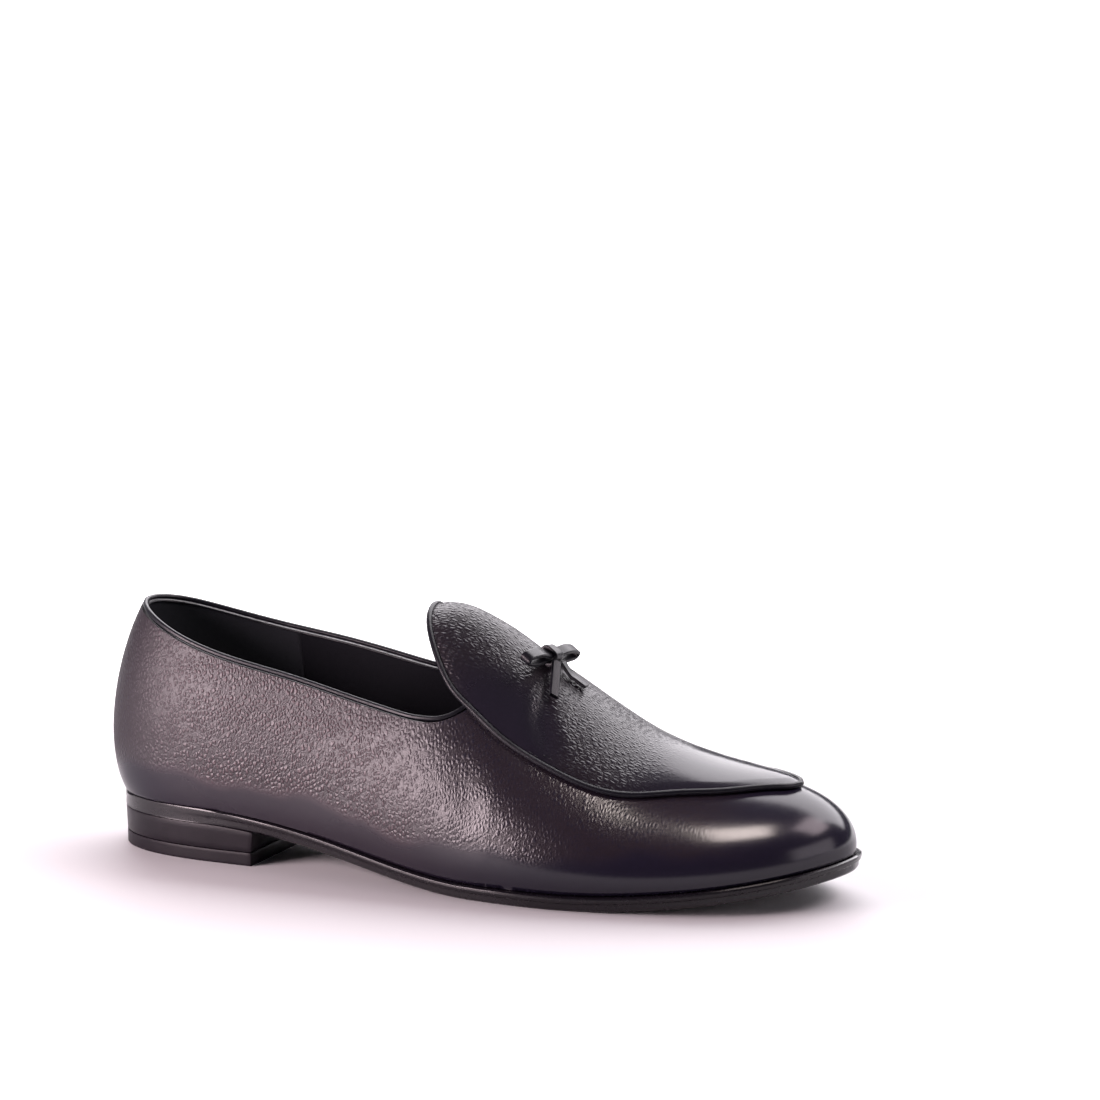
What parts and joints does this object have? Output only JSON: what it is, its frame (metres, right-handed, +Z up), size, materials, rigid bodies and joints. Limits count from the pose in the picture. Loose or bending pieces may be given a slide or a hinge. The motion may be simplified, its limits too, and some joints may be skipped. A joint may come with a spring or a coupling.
{
  "type": "belgian loafer",
  "caption": "Right slip-on leather dress shoe with a piped apron and raised tongue, small thong bow, low stacked heel and thin leather sole.",
  "frame": {"origin": "middle of the shoe's outline in plan, on the floor that it stands on", "axes": "+X towards the toe, +Y towards the inner (medial) side, +Z up"},
  "size_m": [0.2978, 0.1, 0.0993],
  "materials": {
    "upper_leather": "pebbled, semi-gloss, polished smooth at the toe and along the sole",
    "apron_leather": "pebbled, semi-gloss",
    "trim_leather": "smooth satin",
    "bow_leather": "smooth satin",
    "insole_leather": "matt",
    "sole_leather": "dyed and waxed edge, satin underside",
    "heel_leather": "dyed satin",
    "lift_rubber": "matt"
  },
  "bodies": {
    "root": {"upper": "upper_leather", "apron": "apron_leather", "apron_piping": "trim_leather", "collar_binding": "trim_leather", "bow_loops": "bow_leather", "bow_knot": "bow_leather", "bow_tail_outer": "bow_leather", "bow_tail_front": "bow_leather", "insole": "insole_leather", "outsole": "sole_leather", "heel_stack": "heel_leather", "top_lift": "lift_rubber"}
  },
  "joints": []
}
